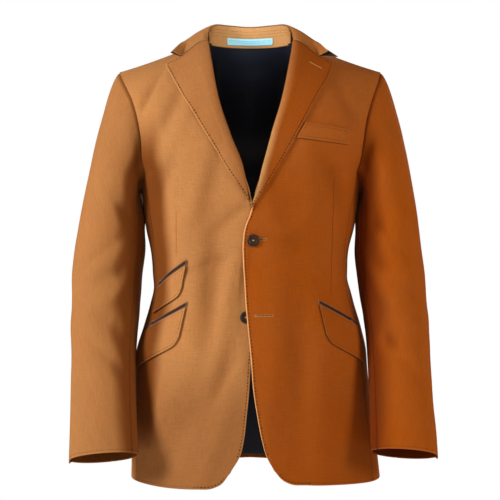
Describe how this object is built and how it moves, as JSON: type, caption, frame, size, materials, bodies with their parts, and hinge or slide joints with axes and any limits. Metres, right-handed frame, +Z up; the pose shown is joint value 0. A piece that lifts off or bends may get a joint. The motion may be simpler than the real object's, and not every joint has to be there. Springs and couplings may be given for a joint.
{
  "type": "blazer jacket",
  "caption": "Single-breasted notch-lapel blazer jacket in tan duck canvas, filled out as if worn, with slanted flap pockets and dark piping.",
  "frame": {"origin": "middle of the neck opening, level with the neck ends of the shoulder seams, where the wearer's neck leaves the jacket", "axes": "+Z up, -Y out of the front, +X towards the wearer's left"},
  "size_m": [0.6058, 0.2806, 0.7761],
  "materials": {
    "canvas": "matte plain-woven cotton duck",
    "dark_cloth": "matte dark brown undercloth and piping",
    "lining": "smooth, slightly glossy lining",
    "label": "pale blue woven label, bare",
    "button": "dark brown satin"
  },
  "bodies": {
    "root": {"front_left": "canvas", "front_right": "canvas", "side_left": "canvas", "side_right": "canvas", "back": "canvas", "sleeve_top_left": "canvas", "sleeve_top_right": "canvas", "sleeve_under_left": "canvas", "sleeve_under_right": "canvas", "lapel_left": "canvas", "lapel_right": "canvas", "collar_fall": "canvas", "collar_stand": "canvas", "flap_left": "canvas", "flap_right": "canvas", "flap_ticket": "canvas", "welt_chest": "canvas", "under_collar": "dark_cloth", "piping_left": "dark_cloth", "piping_right": "dark_cloth", "piping_ticket": "dark_cloth", "button_upper": "button", "button_lower": "button", "lining_back": "lining", "neck_label": "label"}
  },
  "joints": []
}
